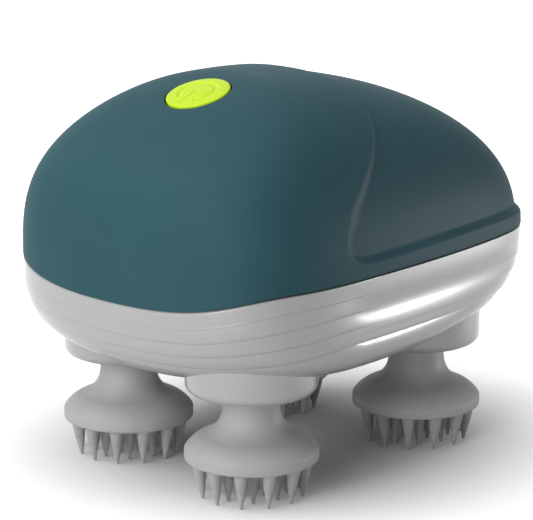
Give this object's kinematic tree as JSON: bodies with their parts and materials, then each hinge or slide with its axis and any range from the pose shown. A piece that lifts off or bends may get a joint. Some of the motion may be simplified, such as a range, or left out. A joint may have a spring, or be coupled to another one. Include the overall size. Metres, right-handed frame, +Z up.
{
  "type": "electric scalp massager",
  "caption": "Hand-held egg-shaped scalp massager with rotating silicone claw heads under a lapped bowl, a soft-touch dome grip and a round push button on the front slope.",
  "frame": {"origin": "on the standing plane, under the middle of the body, where the claws' tips stand", "axes": "+Z up, -Y towards the nose with the button, +Y towards the tail, +X to the right seen from the tail"},
  "size_m": [0.096, 0.124, 0.1016],
  "materials": {
    "soft_touch": "soft-touch coat, fine matt, teal",
    "satin_silver": "satin silver lacquer on moulded plastic",
    "button_plastic": "lime, satin, moulded",
    "silicone": "soft grey silicone, matt",
    "seal_rubber": "black rubber",
    "hub_plastic": "rigid dark plastic",
    "steel": "ground steel",
    "bearing_steel": "bearing steel",
    "bush_bronze": "sintered bronze",
    "gear_plastic": "natural acetal",
    "frame_plastic": "black moulded plastic",
    "gearbox_plastic": "moulded grey plastic",
    "motor_steel": "drawn and plated can",
    "screw_steel": "zinc-plated",
    "switch_plastic": "black moulded plastic",
    "board": "green solder mask",
    "cell_sleeve": "blue shrink sleeve",
    "pin_chrome": "nickel-plated contact"
  },
  "bodies": {
    "body": {"upper_shell": "soft_touch", "lower_shell": "satin_silver", "seam_gasket": "seal_rubber", "gear_plate": "frame_plastic", "gearbox": "gearbox_plastic", "drive_motor": "motor_steel", "motor_screws": "screw_steel", "plate_screws": "screw_steel", "shell_screws": "screw_steel", "tact_switch": "switch_plastic", "control_board": "board", "board_screws": "screw_steel", "battery_cell": "cell_sleeve", "battery_cradle": "frame_plastic", "charge_pins": "pin_chrome", "charge_board": "board", "shaft_seal_front_left": "seal_rubber", "lower_bearing_front_left": "bearing_steel", "upper_bush_front_left": "bush_bronze", "shaft_seal_front_right": "seal_rubber", "lower_bearing_front_right": "bearing_steel", "upper_bush_front_right": "bush_bronze", "shaft_seal_rear_left": "seal_rubber", "lower_bearing_rear_left": "bearing_steel", "upper_bush_rear_left": "bush_bronze", "shaft_seal_rear_right": "seal_rubber", "lower_bearing_rear_right": "bearing_steel", "upper_bush_rear_right": "bush_bronze"},
    "drive": {"drive_gear": "gear_plastic", "drive_shaft": "steel"},
    "head_front_left": {"claw_head_front_left": "silicone", "head_hub_front_left": "hub_plastic", "head_shaft_front_left": "steel", "head_gear_front_left": "gear_plastic"},
    "head_front_right": {"claw_head_front_right": "silicone", "head_hub_front_right": "hub_plastic", "head_shaft_front_right": "steel", "head_gear_front_right": "gear_plastic"},
    "head_rear_left": {"claw_head_rear_left": "silicone", "head_hub_rear_left": "hub_plastic", "head_shaft_rear_left": "steel", "head_gear_rear_left": "gear_plastic"},
    "head_rear_right": {"claw_head_rear_right": "silicone", "head_hub_rear_right": "hub_plastic", "head_shaft_rear_right": "steel", "head_gear_rear_right": "gear_plastic"},
    "button": {"power_button": "button_plastic", "button_seal": "seal_rubber"}
  },
  "joints": [
    {"name": "head_front_left_spin", "type": "hinge", "parent": "body", "child": "head_front_left", "pos_m": [-0.0243, -0.0314, 0.0125], "axis": [0, 0, 1], "continuous": true},
    {"name": "head_front_right_spin", "type": "hinge", "parent": "body", "child": "head_front_right", "pos_m": [0.0243, -0.0366, 0.0125], "axis": [0, 0, 1], "continuous": true},
    {"name": "head_rear_left_spin", "type": "hinge", "parent": "body", "child": "head_rear_left", "pos_m": [-0.0243, 0.0234, 0.0125], "axis": [0, 0, 1], "continuous": true},
    {"name": "head_rear_right_spin", "type": "hinge", "parent": "body", "child": "head_rear_right", "pos_m": [0.0243, 0.0286, 0.0125], "axis": [0, 0, 1], "continuous": true},
    {"name": "drive_spin", "type": "hinge", "parent": "body", "child": "drive", "pos_m": [0.00321, -0.004, 0.042], "axis": [0, 0, 1], "continuous": true},
    {"name": "button_press", "type": "slide", "parent": "body", "child": "button", "axis": [0, 0.284, -0.9588], "range_m": [0, 0.0008], "stiffness_N_per_m": 600}
  ],
  "couplings": [
    {"joint": "head_front_left_spin", "follows": "head_front_right_spin", "ratio": 1},
    {"joint": "head_rear_left_spin", "follows": "head_front_right_spin", "ratio": 1},
    {"joint": "head_rear_right_spin", "follows": "head_front_right_spin", "ratio": 1},
    {"joint": "drive_spin", "follows": "head_front_right_spin", "ratio": -0.625}
  ]
}
